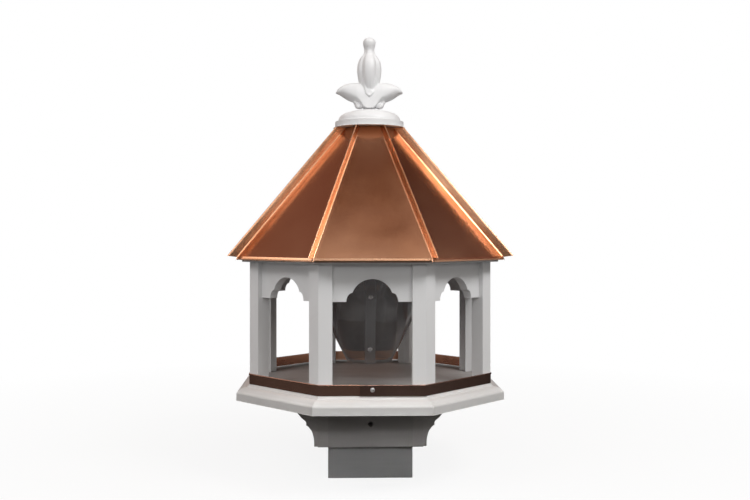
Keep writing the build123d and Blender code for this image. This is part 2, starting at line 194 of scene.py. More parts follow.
def make_vinyl(name, lo, hi, rough=0.36, peel=0.10, spec=0.5, dirt=(0.70, 0.69, 0.67)):
    t = Tree(name)
    t.bsdf.inputs["Specular IOR Level"].default_value = spec
    broad = t.noise(9.0, 3.0, 0.55)
    col = t.ramp(broad, [(0.30, lo), (0.70, hi)])
    speck = t.noise(520.0, 3.0, 0.6)
    col = t.mix(t.span(speck, 0.0, 0.35, 0.66, 0.78), col, dirt)
    scuff = t.noise(46.0, 5.0, 0.65, distortion=0.8)
    col = t.mix(t.span(scuff, 0.0, 0.22, 0.60, 0.74), col, dirt)
    # painted highlight: sharp outer edges lightened towards a brighter white
    col = t.mix(t.math("MULTIPLY", edge_highlight_mask(t), 0.35), col, tuple(min(1.0, c * 1.08) for c in hi))
    t.to(col, "Base Color")
    t.to(t.math("ADD", t.span(broad, rough - 0.03, rough + 0.04, 0.3, 0.7), t.span(scuff, 0.0, 0.10, 0.55, 0.75)), "Roughness")
    n1 = t.bump(t.noise(900.0, 2.0), peel, 0.00008)
    n2 = t.bump(t.noise(110.0, 2.0), peel * 0.6, 0.0004, after=n1)
    t.to(n2, "Normal")
    return t.mat


VINYL = make_vinyl("white_vinyl", (0.81, 0.812, 0.815), (0.845, 0.847, 0.85))
# painted shade: a darker copy of the white vinyl, used on the tray lips
VINYL_TRIM_SHADED = make_vinyl("white_vinyl_trim", (0.655, 0.65, 0.64), (0.69, 0.685, 0.675))
CAST = make_vinyl("white_moulding", (0.765, 0.767, 0.772), (0.798, 0.80, 0.806), rough=0.42, peel=0.16)


def make_grey(name, lo, hi):
    t = Tree(name)
    t.bsdf.inputs["Specular IOR Level"].default_value = 0.4
    grain = t.noise(60.0, 4.0, 0.6, vector=t.mapped(scale=(0.12, 1.0, 1.0)), distortion=0.3)
    broad = t.noise(11.0, 3.0, 0.55)
    col = t.ramp(broad, [(0.3, lo), (0.7, hi)])
    col = t.mix(t.span(grain, 0.0, 0.30, 0.5, 0.72), col, tuple(c * 0.86 for c in lo))
    # painted highlight: sharp outer edges lightened towards a brighter grey
    col = t.mix(t.math("MULTIPLY", edge_highlight_mask(t), 0.45), col, tuple(c * 1.25 for c in hi))
    speck = t.noise(700.0, 2.0)
    col = t.mix(t.span(speck, 0.0, 0.30, 0.64, 0.76), col, tuple(c * 1.3 for c in hi))
    t.to(col, "Base Color")
    t.to(t.span(grain, 0.44, 0.58, 0.3, 0.7), "Roughness")
    n1 = t.bump(grain, 0.10, 0.0002)
    n2 = t.bump(t.noise(1100.0, 2.0), 0.12, 0.00008, after=n1)
    t.to(n2, "Normal")
    return t.mat


GREY = make_grey("grey_board", (0.39, 0.375, 0.365), (0.43, 0.415, 0.405))
GREY_SLEEVE = make_grey("grey_sleeve", (0.36, 0.36, 0.362), (0.395, 0.395, 0.397))


def make_clear(name):
    t = Tree(name)
    t.set(IOR=1.45)
    sep = t.add("ShaderNodeSeparateXYZ")
    t.link(t.coord.outputs["Object"], sep.inputs[0])
    near = t.math("LESS_THAN", t.math("ABSOLUTE", sep.outputs["X"]), 0.0074)
    lap = t.math("MULTIPLY", near, t.math("LESS_THAN", sep.outputs["Y"], 0.0))
    haze = t.noise(30.0, 4.0, 0.6, distortion=0.5)
    wisps = t.noise(90.0, 3.0, 0.7, vector=t.mapped(scale=(1.0, 1.0, 0.25)), distortion=2.5)
    col = t.ramp(haze, [(0.3, (0.74, 0.75, 0.76)), (0.75, (0.62, 0.63, 0.65))])
    col = t.mix(t.math("MULTIPLY", lap, 0.55), col, (0.84, 0.85, 0.87))
    t.to(col, "Base Color")
    t.to(t.math("ADD", t.span(haze, 0.02, 0.10, 0.35, 0.8), t.math("MULTIPLY", lap, 0.12)), "Roughness")
    dusty = t.math("MULTIPLY", t.span(wisps, 0.0, 0.05, 0.60, 0.72), 1.0)
    t.to(t.math("SUBTRACT", t.math("SUBTRACT", 0.985, dusty), t.math("MULTIPLY", lap, 0.10)), "Transmission Weight")
    t.to(t.bump(t.noise(16.0, 2.0), 0.35, 0.0022), "Normal")
    return t.mat


CLEAR = make_clear("clear_sheet")


def make_wood(name, lo, hi, axis=(1.0, 1.0, 0.08)):
    t = Tree(name)
    v = t.mapped(scale=axis)
    rings = t.noise(90.0, 5.0, 0.6, vector=v, distortion=1.2)
    fine = t.noise(600.0, 3.0, 0.6, vector=v)
    col = t.ramp(rings, [(0.35, lo), (0.55, hi), (0.70, lo)])
    col = t.mix(t.span(fine, 0.0, 0.35, 0.5, 0.7), col, tuple(c * 0.6 for c in lo))
    t.to(col, "Base Color")
    t.to(t.span(fine, 0.50, 0.72, 0.3, 0.7), "Roughness")
    t.to(t.bump(fine, 0.25, 0.0002), "Normal")
    return t.mat


WOOD = make_wood("pine", (0.42, 0.26, 0.13), (0.62, 0.43, 0.24))


def make_steel(name, lo, hi, rough=0.28):
    t = Tree(name)
    t.set(Metallic=1.0)
    a = t.noise(900.0, 3.0, 0.6, vector=t.mapped(scale=(1.0, 1.0, 0.25)))
    b = t.noise(160.0, 3.0, 0.6)
    t.to(t.ramp(b, [(0.3, lo), (0.7, hi)]), "Base Color")
    t.to(t.math("ADD", t.span(a, rough - 0.06, rough + 0.10, 0.3, 0.7), t.span(b, 0.0, 0.08, 0.5, 0.8)), "Roughness")
    t.to(t.bump(a, 0.12, 0.00004), "Normal")
    return t.mat


STEEL = make_steel("stainless", (0.56, 0.56, 0.57), (0.70, 0.70, 0.71))
ALU = make_steel("rivet_aluminium", (0.70, 0.71, 0.72), (0.84, 0.85, 0.86), rough=0.24)


# ------------------------------------------------------------------ mesh helpers
def finish_mesh(ob, mat, body, angle=32, replaces=()):
    me = ob.data
    bm = bmesh.new()
    bm.from_mesh(me)
    bmesh.ops.recalc_face_normals(bm, faces=bm.faces)
    bm.to_mesh(me)
    bm.free()
    for p in me.polygons:
        p.use_smooth = True
    me.set_sharp_from_angle(angle=math.radians(angle))
    me.materials.clear()
    me.materials.append(mat)
    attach(ob, body)
    if replaces:
        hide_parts(*replaces)
    return ob


def from_lists(name, verts, faces, scale=MM):
    me = bpy.data.meshes.new(name)
    me.from_pydata([Vector(v) * scale for v in verts], [], faces)
    me.validate()
    ob = bpy.data.objects.new(name, me)
    scene.collection.objects.link(ob)
    return ob


def bake(ob):
    """Applies every modifier on ob."""
    dg = bpy.context.evaluated_depsgraph_get()
    me = bpy.data.meshes.new_from_object(ob.evaluated_get(dg))
    ob.modifiers.clear()
    old = ob.data
    ob.data = me
    me.name = ob.name
    bpy.data.meshes.remove(old)
    return ob


def thicken(ob, thickness, offset=0.0):
    m = ob.modifiers.new("sheet", "SOLIDIFY")
    m.thickness = thickness * MM
    m.offset = offset
    m.use_even_offset = True
    m.use_quality_normals = True
    return bake(ob)


def revolve(profile, seg=96, centre=(0, 0), closed=False):
    """(verts, faces) of (r, z) points turned round a vertical axis. Points at r 0 close it."""
    verts, faces, rows = [], [], []
    for r, z in profile:
        if r <= 1e-6:
            verts.append((centre[0], centre[1], z))
            rows.append([len(verts) - 1] * seg)
        else:
            start = len(verts)
            for i in range(seg):
                a = 2 * math.pi * i / seg
                verts.append((centre[0] + r * math.cos(a), centre[1] + r * math.sin(a), z))
            rows.append(list(range(start, start + seg)))
    pairs = list(zip(rows, rows[1:]))
    if closed:
        pairs.append((rows[-1], rows[0]))
    for a, b in pairs:
        for i in range(seg):
            j = (i + 1) % seg
            f = [a[i], a[j], b[j], b[i]]
            f = [v for k, v in enumerate(f) if v not in f[:k]]
            if len(f) >= 3:
                faces.append(f)
    return verts, faces


def smooth_curve(points, per=6):
    """Catmull-Rom through (a, b, ...) points; a repeated point makes a corner."""
    out = []
    n = len(points)
    for i in range(n - 1):
        p0, p1, p2, p3 = points[max(i - 1, 0)], points[i], points[i + 1], points[min(i + 2, n - 1)]
        if p1 == p2:
            continue
        for k in range(per):
            t = k / per
            out.append(tuple(0.5 * ((2 * b) + (-a + c) * t + (2 * a - 5 * b + 4 * c - d) * t * t + (-a + 3 * b - 3 * c + d) * t ** 3)
                             for a, b, c, d in zip(p0, p1, p2, p3)))
    out.append(tuple(points[-1]))
    return out


def interp(table, x):
    """Smooth value of a (x, y) table at x."""
    if x <= table[0][0]:
        return table[0][1]
    for (x0, y0), (x1, y1) in zip(table, table[1:]):
        if x <= x1:
            t = (x - x0) / (x1 - x0)
            return y0 + (y1 - y0) * t
    return table[-1][1]


def smooth_interp(table, x):
    i = 0
    while i < len(table) - 2 and x > table[i + 1][0]:
        i += 1
    p = [table[max(i - 1, 0)], table[i], table[i + 1], table[min(i + 2, len(table) - 1)]]
    x0, x1 = p[1][0], p[2][0]
    t = min(1.0, max(0.0, (x - x0) / (x1 - x0)))
    m0 = (p[2][1] - p[0][1]) / max(p[2][0] - p[0][0], 1e-9) * (x1 - x0)
    m1 = (p[3][1] - p[1][1]) / max(p[3][0] - p[1][0], 1e-9) * (x1 - x0)
    return ((2 * t ** 3 - 3 * t ** 2 + 1) * p[1][1] + (t ** 3 - 2 * t ** 2 + t) * m0 + (-2 * t ** 3 + 3 * t ** 2) * p[2][1] + (t ** 3 - t ** 2) * m1)


def sweep_plan(path, profile, wobble=0.0, seed=0.0, step=9.0, z_wobble=0.0, bend=1.6):
    """Closed profile of (u outwards, z) points swept along an open plan path, cut back and bridged at its corners.
    The path is the profile's u = 0 line; outwards is to the right of travel."""
    pts = [Vector(p) for p in path]
    line = []            # (point, outward direction)
    for i in range(len(pts) - 1):
        a, b = pts[i], pts[i + 1]
        d = (b - a).normalized()
        nrm = Vector((d.y, -d.x))
        length = (b - a).length
        start = bend if i > 0 else 0.0
        stop = length - (bend if i < len(pts) - 2 else 0.0)
        k = max(1, int((stop - start) / step))
        for j in range(k + 1):
            line.append((a + d * (start + (stop - start) * j / k), nrm))
    rows = []
    run = 0.0
    for i, (p, nrm) in enumerate(line):
        if i:
            run += (p - line[i - 1][0]).length
        w = wobble * noise.noise(Vector((run * 0.021 + seed, seed, 0.3)))
        zw = z_wobble * noise.noise(Vector((run * 0.017 + seed, 4.7, seed)))
        rows.append([(p.x + nrm.x * (u + w), p.y + nrm.y * (u + w), z + zw) for u, z in profile])
    verts = [v for row in rows for v in row]
    m = len(profile)
    faces = []
    for i in range(len(rows) - 1):
        for j in range(m):
            a, b = i * m + j, i * m + (j + 1) % m
            faces.append((a, b, b + m, a + m))
    faces.append(tuple(range(m)))
    faces.append(tuple(range((len(rows) - 1) * m, len(rows) * m))[::-1])
    return verts, faces


def rotate_z(verts, degrees):
    a = math.radians(degrees)
    c, s = math.cos(a), math.sin(a)
    return [(x * c - y * s, x * s + y * c, z) for x, y, z in verts]


# ------------------------------------------------------------------ CAD boards that stay, with softened edges
def soften(name, mat, width=0.7, segments=3, angle=28):
    ob = N[name]
    ob.data.materials.clear()
    ob.data.materials.append(mat)
    w = ob.modifiers.new("weld", "WELD")
    w.merge_threshold = 0.00002
    if width:
        b = ob.modifiers.new("edges", "BEVEL")
        b.width = width * MM
        b.segments = segments
        b.limit_method = "ANGLE"
        b.angle_limit = math.radians(angle)
        b.use_clamp_overlap = True
        b.harden_normals = True
    return ob


for s in ("front", "back", "left", "right"):
    soften(f"sleeve_{s}", GREY_SLEEVE, 0.5)
    soften(f"collar_{s}", GREY, 0.6)
soften("floor_board", GREY, 0.6)
for s in SIDES:
    soften(f"arch_board_{s}", VINYL, 0.45, angle=40)
for s in POSTS:
    soften(f"corner_post_{s}", VINYL, 0.7)
soften("roof_base_board", VINYL, 0.6, angle=40)
soften("hip_rafters", WOOD, 0.8)
soften("apex_collar", WOOD, 0.6, angle=40)
soften("finial_plug", WOOD, 0.0)
soften("post_screws", STEEL, 0.0)
soften("hopper_tab_screws", STEEL, 0.15)
soften("hopper_rivets", ALU, 0.1)
soften("finial_stud", STEEL, 0.2)
soften("finial_nut", STEEL, 0.4)
CORBEL = [(14.0, 45.7), (14.0, 45.7), (18.6, 45.7), (18.6, 45.7), (18.9, 55.0), (20.3, 61.5), (22.0, 66.5), (24.5, 70.2), (27.3, 73.4), (29.6, 74.8),
          (29.6, 74.8), (29.6, 78.5), (29.6, 78.5), (31.4, 81.2), (35.5, 84.4), (39.3, 88.8), (44.0, 94.5), (48.6, 100.0), (51.0, 104.5), (51.5, 107.0),
          (51.5, 107.0), (51.5, 111.0), (51.5, 111.0), (14.0, 111.0)]
for s, sign in (("left", -1), ("right", 1)):
    prof = smooth_curve(CORBEL, 5)
    verts, faces = [], []
    for y in (-65.5, 65.5):
        verts += [(sign * (58.5 + p), y, z) for p, z in prof]
    m = len(prof)
    faces = [(j, (j + 1) % m, (j + 1) % m + m, j + m) for j in range(m)] + [tuple(range(m)), tuple(range(2 * m - 1, m - 1, -1))]
    ob = from_lists(f"corbel_moulding_{s}", verts, faces)
    bv = ob.modifiers.new("edges", "BEVEL")
    bv.width, bv.segments, bv.limit_method, bv.angle_limit = 0.45 * MM, 3, "ANGLE", math.radians(34)
    bake(ob)
    finish_mesh(ob, GREY, BODY, replaces=(f"corbel_{s}",))

# ------------------------------------------------------------------ tray moulding
FLOOR_A, LIP_W = 166.3, 16.6
LIP = [(0.05, 111.5), (0.05, 111.5), (0.5, 111.02), (0.5, 111.02), (15.8, 111.02), (16.45, 111.3), (16.58, 112.0), (16.58, 112.0), (16.58, 119.6), (16.5, 120.9), (16.0, 122.2), (15.0, 123.2),
       (13.6, 123.9), (13.6, 123.9), (12.9, 124.6), (11.4, 126.1), (9.2, 127.3), (6.6, 128.0), (4.2, 128.3), (4.2, 128.3), (3.2, 128.35), (2.5, 128.7),
       (2.25, 129.4), (2.25, 129.4), (1.9, 129.95), (1.9, 129.95), (0.6, 130.3), (0.1, 131.2), (-0.1, 132.0), (-0.1, 132.0), (-0.3, 132.3), (-0.8, 132.3), (-0.95, 132.0), (-0.95, 130.1), (-0.95, 130.1), (0.05, 129.9)]
lip_prof = smooth_curve(LIP, 3)
for k, s in enumerate(SIDES):
    verts, faces = [], []
    rows = 13
    for i in range(rows):
        t = -1 + 2 * i / (rows - 1)
        for u, z in lip_prof:
            a = FLOOR_A + u
            half = a * T8 - 0.06
            wob = 0.08 * noise.noise(Vector((t * 2.1 + k * 7.3, u * 0.05, 1.7))) * (1 - t * t)
            verts.append((t * half, -a - wob if u > 3 else -a, z))
    m = len(lip_prof)
    for i in range(rows - 1):
        for j in range(m):
            a, b = i * m + j, i * m + (j + 1) % m
            faces.append((a, b, b + m, a + m))
    faces += [tuple(range(m)), tuple(range(rows * m - 1, (rows - 1) * m - 1, -1))]
    ob = from_lists(f"tray_lip_{s}", rotate_z(verts, 45 * k), faces)
    bv = ob.modifiers.new("mitre", "BEVEL")
    bv.width, bv.segments, bv.limit_method, bv.angle_limit = 0.18 * MM, 2, "ANGLE", math.radians(50)
    bake(ob)
    # the tray lips take the darker, painted-shade copy of the white vinyl
    finish_mesh(ob, VINYL_TRIM_SHADED, BODY, angle=30, replaces=(f"tray_moulding_{s}",))

# ------------------------------------------------------------------ copper seed rail
RAIL_A, RT = 165.45, 0.7
RZ0, RZ1 = 132.6, 147.0


def rail_profile(u0):
    """Sheet on edge with its top folded outwards into a round hem."""
    p = [(u0, RZ0), (u0, RZ1 - 0.85)]
    for i in range(1, 9):
        a = math.pi - math.pi * i / 9
        p.append((u0 + 0.76 + 0.76 * math.cos(a), RZ1 - 0.85 + 0.83 * math.sin(a)))
    p += [(u0 + 1.5, RZ1 - 0.95), (u0 + 1.46, RZ1 - 2.3), (u0 + 1.1, RZ1 - 2.5), (u0 + RT, RZ1 - 2.2), (u0 + RT, RZ0)]
    return p


ao = RAIL_A + RT + 0.05 + 0.8
cn = RAIL_A * math.sqrt(2)
right_path = [(-16.5, -ao), (cn - ao, -ao), (RAIL_A, -RAIL_A * T8), (RAIL_A, RAIL_A * T8), (cn - ao, ao), (-16.5, ao)]
left_path = [(16.5, RAIL_A), (-RAIL_A * T8, RAIL_A), (-RAIL_A, RAIL_A * T8), (-RAIL_A, -RAIL_A * T8), (-RAIL_A * T8, -RAIL_A), (16.5, -RAIL_A)]
for nm, path, seed in (("right", right_path, 3.1), ("left", left_path, 8.4)):
    verts, faces = sweep_plan(path, rail_profile(0.0), wobble=0.22, seed=seed, z_wobble=0.14)
    ob = from_lists(f"seed_rail_strip_{nm}", verts, faces)
    finish_mesh(ob, COPPER_RAIL_DARK if nm == "right" else COPPER_RAIL, BODY, angle=40, replaces=(f"seed_rail_{nm}",))
    # painted light: the inner face gets a brighter copper copy in its middle and a darker copy at its sides
    ob.data.materials.append(COPPER_INNER_LIT)
    ob.data.materials.append(COPPER_INNER_SIDE)
    for p in ob.data.polygons:
        if p.normal.x * p.center.x + p.normal.y * p.center.y < -0.5 * math.hypot(p.center.x, p.center.y):
            p.material_index = 1 if abs(p.center.x) < 0.070 else 2


def pan_head(name, centre, normal, r, height, shank_r, shank_l, mat, body, recess=True):
    """Pan-head screw with a cross recess."""
    prof = [(0, height), (0, height)]
    for i in range(1, 9):
        a = math.radians(90 - 90 * i / 8)
        prof.append((r * (0.52 + 0.48 * math.cos(a)), height * (0.30 + 0.70 * math.sin(a))))
    prof = [(0, height), (r * 0.52, height * 0.995)] + prof[2:]
    prof += [(r, 0.0), (r, 0.0), (shank_r, 0.0)]
    z = 0.0
    while z > -shank_l + 1.0:          # thread
        prof += [(shank_r * 0.82, z - 0.25), (shank_r, z - 0.5)]
        z -= 0.5
    prof += [(shank_r * 0.8, -shank_l + 0.6), (0, -shank_l)]
    prof = [p for i, p in enumerate(prof) if i == 0 or p != prof[i - 1]]
    verts, faces = revolve(prof, 40)
    ob = from_lists(name, verts, faces)
    if recess:
        for ang in (0, 90):
            w, l, d = r * 0.17, r * 0.58, height * 0.62
            c, s = math.cos(math.radians(ang + 20)), math.sin(math.radians(ang + 20))
            pts = [(x * c - y * s, x * s + y * c, z) for z, f in ((height - d, 0.45), (height + 1, 1.15)) for x, y in ((-l * f, -w * f), (l * f, -w * f), (l * f, w * f), (-l * f, w * f))]
            cut = from_lists("cutter", pts, [(0, 1, 2, 3), (4, 5, 6, 7), (0, 1, 5, 4), (1, 2, 6, 5), (2, 3, 7, 6), (3, 0, 4, 7)])
            bm = bmesh.new()
            bm.from_mesh(cut.data)
            bmesh.ops.recalc_face_normals(bm, faces=bm.faces)
            bm.to_mesh(cut.data)
            bm.free()
            mod = ob.modifiers.new("recess", "BOOLEAN")
            mod.operation, mod.object, mod.solver = "DIFFERENCE", cut, "EXACT"
            bake(ob)
            bpy.data.objects.remove(cut)
    q = Vector((0, 0, 1)).rotation_difference(Vector(normal))
    ob.data.transform(Matrix.Translation(Vector(centre) * MM) @ q.to_matrix().to_4x4())
    finish_mesh(ob, mat, body, angle=35)
    return ob


yo = ao + RT
heads = [pan_head(f"rail_screw_{n}", (0, s * yo, 140.6), (0, s, 0), 2.9, 1.9, 1.25, 8.3, STEEL, BODY) for n, s in (("front", -1), ("back", 1))]
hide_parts("rail_screws")
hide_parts("rail_screws")

# ------------------------------------------------------------------ copper roof panels
EAVE_A, Z_FOLD, HEM_Z, APEX_A, APEX_Z, TOP_Z = 182.0, 306.5, 302.5, 34.0, 491.0, 490.6
R0, R1 = EAVE_A / C8, APEX_A / C8
HL = math.hypot(R1 - R0, APEX_Z - Z_FOLD)
HU = ((R1 - R0) / HL, (APEX_Z - Z_FOLD) / HL)
HN = (HU[1], -HU[0])
PITCH = math.atan2(APEX_Z - Z_FOLD, EAVE_A - APEX_A)
SHEET = 0.6


def hip_dir(angle):
    a = math.radians(angle)
    return Vector((math.cos(a), math.sin(a), 0))


def fin_wave(hip, s):
    """Sideways drift of a standing seam, the same for both panels that meet there."""
    env = min(1.0, s * 6) * min(1.0, (1 - s) * 6)
    return env * (0.42 * noise.noise(Vector((s * 4.1, hip * 5.3, 2.2))) + 0.16 * noise.noise(Vector((s * 15.0, hip * 3.1, 7.7))))


def hip_point(angle, s, q, lateral, lean=True):
    """Point on a seam: s up the hip (0 eave, 1 apex), q square off it, lateral sideways (counter-clockwise positive)."""
    u = hip_dir(angle)
    w = Vector((-u.y, u.x, 0))
    slide = -7.8 * max(0.0, q) / 12.0 * max(0.0, 1 - s * 9) if lean else 0.0
    top = (TOP_Z - Z_FOLD - HN[1] * q) / (APEX_Z - Z_FOLD)
    s -= max(0.0, 0.999 - top) * min(1.0, max(0.0, (s - 0.8) / 0.2))
    r = R0 + (R1 - R0) * s + HN[0] * q + HU[0] * slide
    z = Z_FOLD + (APEX_Z - Z_FOLD) * s + HN[1] * q + HU[1] * slide
    return u * r + w * lateral + Vector((0, 0, z))


def round_corner(a, c, b, radius, n=5):
    """Points of a soft bend from a to b round the corner c."""
    da, db = (a - c), (b - c)
    p, q = c + da.normalized() * min(radius, da.length * 0.9), c + db.normalized() * min(radius, db.length * 0.9)
    return [p * (1 - t) ** 2 + c * 2 * t * (1 - t) + q * t * t for t in [i / n for i in range(n + 1)]]


def panel_section(k, s):
    """Mid-surface of one roof panel across its width at s up the slope, from its left seam to its right seam (seen from outside)."""
    mid = -90 + 45 * k
    hl, hr = mid - 22.5, mid + 22.5          # clockwise is left, seen from outside
    nrm = Vector((math.cos(math.radians(mid)) * math.sin(PITCH), math.sin(math.radians(mid)) * math.sin(PITCH), math.cos(PITCH)))
    il, ir = (k * 2 - 1) % 16, (k * 2 + 1) % 16
    wl, wr = fin_wave(il, s), fin_wave(ir, s)
    t = SHEET / 2 + 0.03
    # left seam: the shorter leg
    left = [hip_point(hl, s, q, t + wl * min(1.0, q / 6)) for q in (10.9, 9.2, 7.2, 5.0, 2.6)]
    left_c = hip_point(hl, s, 0, t) - nrm * (SHEET / 2)
    right_c = hip_point(hr, s, 0, -t) - nrm * (SHEET / 2)
    right = [hip_point(hr, s, q, -t + wr * min(1.0, q / 6)) for q in (2.6, 5.0, 7.2, 9.2, 10.7)]
    across = []
    n = 22
    for i in range(1, n):
        f = i / n
        p = left_c.lerp(right_c, f)
        env = min(1.0, f * 7) * min(1.0, (1 - f) * 7) * min(1.0, s * 8 + 0.15) * min(1.0, (1 - s) * 5)
        d = 0.34 * noise.noise(Vector((f * 2.3 * (1.15 - s) + k * 3.7, s * 2.9, k * 1.9))) + 0.10 * noise.noise(Vector((f * 7.0 + k, s * 9.0, 4.4)))
        across.append(p + nrm * d * env)
    bend_l = round_corner(left[-1], left_c, across[0], 1.5)
    bend_r = round_corner(across[-1], right_c, right[0], 1.5)
    # the right leg folds over the neighbour's leg
    fold = []
    c = -t + wr + 0.78
    for i in range(1, 7):
        a = math.pi * i / 7
        fold.append(hip_point(hr, s, 10.85 + 0.80 * math.sin(a), c - 0.78 * math.cos(a)))
    fold += [hip_point(hr, s, q, c + 0.78) for q in (10.3, 8.6, 6.8)]
    return left + bend_l + across + bend_r + right + fold, len(left), len(left) + len(bend_l) + len(across) + len(bend_r)


S_ROWS = [0, 0.006, 0.014, 0.03, 0.05] + [0.05 + 0.93 * i / 44 for i in range(1, 45)] + [0.99, 0.9978]
for k, side in enumerate(SIDES):
    verts, faces = [], []
    rows = []
    for s in S_ROWS:
        pts, a0, a1 = panel_section(k, s)
        rows.append(list(range(len(verts), len(verts) + len(pts))))
        verts += [tuple(p) for p in pts]
    for r in range(len(rows) - 1):
        for j in range(len(rows[0]) - 1):
            faces.append((rows[r][j], rows[r][j + 1], rows[r + 1][j + 1], rows[r + 1][j]))
    # hem: the eave edge rolls over and turns down
    pts, a0, a1 = panel_section(k, 0.0)
    mid = math.radians(-90 + 45 * k)
    out = Vector((math.cos(mid), math.sin(mid), 0))
    j0, j1 = a0 + 3, a1 - 4
    prev = rows[0][j0:j1 + 1]
    base = [Vector(verts[i]) for i in prev]
    down_slope = out * math.cos(PITCH) - Vector((0, 0, 1)) * math.sin(PITCH)
    rad = 1.1
    offs = []
    turn = math.pi / 2 - PITCH
    for i in range(1, 6):
        a = turn * i / 5
        # roll from the slope's direction to straight down
        offs.append((rad * (math.sin(PITCH + a) - math.sin(PITCH)), -rad * (math.cos(PITCH) - math.cos(PITCH + a)) * 1.0))
    lowest = Z_FOLD - 4.0
    for i, (dx, dz) in enumerate(offs + [(offs[-1][0], offs[-1][1] - 1.4), (offs[-1][0] - 0.05, offs[-1][1] - 2.9)]):
        cur = []
        for b in base:
            w = 0.12 * noise.noise(Vector((b.x * 0.03, b.y * 0.03, k * 1.0)))
            p = b + out * (dx - 0.25 * (i + 1) / 7) + Vector((0, 0, dz + w * (i > 4)))
            p.z = max(p.z, HEM_Z + 0.05)
            verts.append(tuple(p))
            cur.append(len(verts) - 1)
        for j in range(len(cur) - 1):
            faces.append((prev[j], prev[j + 1], cur[j + 1], cur[j]))
        prev = cur
    ob = from_lists(f"copper_panel_{side}", verts, faces)
    thicken(ob, SHEET - 0.08)
    finish_mesh(ob, COPPER, BODY, angle=50, replaces=(f"roof_panel_{side}",))

# ------------------------------------------------------------------ hopper funnel
CZ0, CR0, SLOPE, CT, LAPW = 154.6, 31.5, 0.505, 0.9, 14.6
TAB_Z = 312.7


def cone_r(z):
    return CR0 + SLOPE * (z - CZ0)


nz, nt = 44, 168
verts, faces = [], []
for i in range(nz + 1):
    z = CZ0 + (TAB_Z - 1.2 - CZ0) * i / nz
    r = cone_r(z)
    half = math.degrees((LAPW / 2) / r)
    a0, a1 = -90 - half, -90 + half + 360
    for j in range(nt + 1):
        # the lap climbs over the first edge
        f = j / nt
        a = a0 + (a1 - a0) * f
        over = (a - (270 - half - 5.0)) / 5.0
        lift = min(1.0, max(0.0, over))
        lift = lift * lift * (3 - 2 * lift) * (CT + 0.12)
        flat = 0.25 * noise.noise(Vector((math.cos(math.radians(a)) * 1.7, math.sin(math.radians(a)) * 1.7, i / nz * 1.6 + 5)))
        rr = r + CT / 2 + lift + flat * min(1.0, (abs(((a + 90 + 180) % 360) - 180)) / 25.0)
        verts.append((rr * math.cos(math.radians(a)), rr * math.sin(math.radians(a)), z))
for i in range(nz):
    for j in range(nt):
        a = i * (nt + 1) + j
        faces.append((a, a + 1, a + nt + 2, a + nt + 1))
cone = from_lists("hopper_funnel", verts, faces)
thicken(cone, CT - 0.1)
finish_mesh(cone, CLEAR, BODY, angle=40, replaces=("hopper_cone",))
verts, faces = [], []
for k in range(8):
    ang = 22.5 + 45 * k
    rows = []
    line = smooth_curve([(cone_r(TAB_Z - 9) + 1.6, TAB_Z - 9), (cone_r(TAB_Z - 2.0) + 1.6, TAB_Z - 2.0), (cone_r(TAB_Z) + 2.4, TAB_Z + 0.45), (cone_r(TAB_Z) + 4.5, TAB_Z + 0.45),
                         (cone_r(TAB_Z) + 12.8, TAB_Z + 0.45)], 4)
    for r, z in line:
        row = []
        for j in range(7):
            y = -6.9 + 13.8 * j / 6
            v = rotate_z([(r, y, z)], ang)[0]
            row.append(len(verts))
            verts.append(v)
        rows.append(row)
    for a, b in zip(rows, rows[1:]):
        for j in range(6):
            faces.append((a[j], a[j + 1], b[j + 1], b[j]))
tabs = from_lists("hopper_tabs", verts, faces)
thicken(tabs, CT - 0.1)
finish_mesh(tabs, CLEAR, BODY, angle=40)

# ------------------------------------------------------------------ finial cap
CAP_PROFILE = [(0.0, 491.05), (0.0, 491.05), (48.6, 491.05), (49.3, 491.35), (49.55, 492.1), (49.55, 492.1), (49.55, 499.0), (49.3, 499.8), (48.4, 500.25), (48.4, 500.25),
               (45.8, 500.5), (44.9, 500.9), (44.9, 500.9), (44.75, 503.0), (44.1, 505.2), (42.5, 507.6), (39.5, 510.1), (35.3, 512.25), (30.0, 513.9), (25.0, 515.15),
               (20.0, 516.25), (14.0, 517.3), (9.0, 518.2), (9.0, 518.2), (0.0, 518.3)]
verts, faces = revolve(smooth_curve(CAP_PROFILE, 4), 160)
ob = from_lists("finial_cap_disc", verts, faces)
finish_mesh(ob, CAST, CAP, angle=38, replaces=("finial_base",))

BUD = [(518.0, 8.6), (521.0, 8.8), (526.0, 8.2), (534.0, 9.0), (545.0, 11.8), (556.0, 14.9), (564.0, 16.5), (570.0, 17.3), (575.0, 17.6), (581.0, 17.2), (586.5, 16.1), (591.0, 14.1),
       (595.0, 11.3), (598.0, 8.9), (601.0, 7.7), (604.5, 7.2), (607.5, 7.6), (610.5, 8.5), (613.8, 9.0), (616.6, 8.85), (619.0, 7.9), (620.8, 6.2), (621.9, 3.9), (622.35, 0.0)]
FLUTE = [(540.0, 0.0), (550.0, 0.10), (560.0, 0.15), (580.0, 0.15), (592.0, 0.13), (599.0, 0.10), (606.0, 0.05), (612.0, 0.02), (620.0, 0.0)]
ZT = [(0, 556.6), (15, 556.7), (27, 556.2), (34, 554.8), (41, 551.3), (45.7, 547.6), (48.0, 544.4), (48.6, 542.4)]
ZB = [(0, 518.6), (5, 518.8), (9, 520.5), (14, 524.6), (20, 527.2), (25.4, 529.0), (32.6, 532.0), (37, 534.8), (43, 538.9), (47.6, 541.0), (48.6, 541.8)]
ZW = [(0, 519.6), (5, 520.4), (9, 524.2), (13, 530.0), (18, 536.6), (25, 540.4), (32, 543.8), (38, 545.6), (43, 545.4), (47, 543.6), (48.6, 542.1)]
WD = [(0, 13.0), (5, 13.2), (9, 13.0), (14, 12.6), (20, 12.0), (30, 10.2), (38, 7.6), (43, 5.2), (46.5, 3.2), (48.2, 1.7), (48.6, 0.5)]


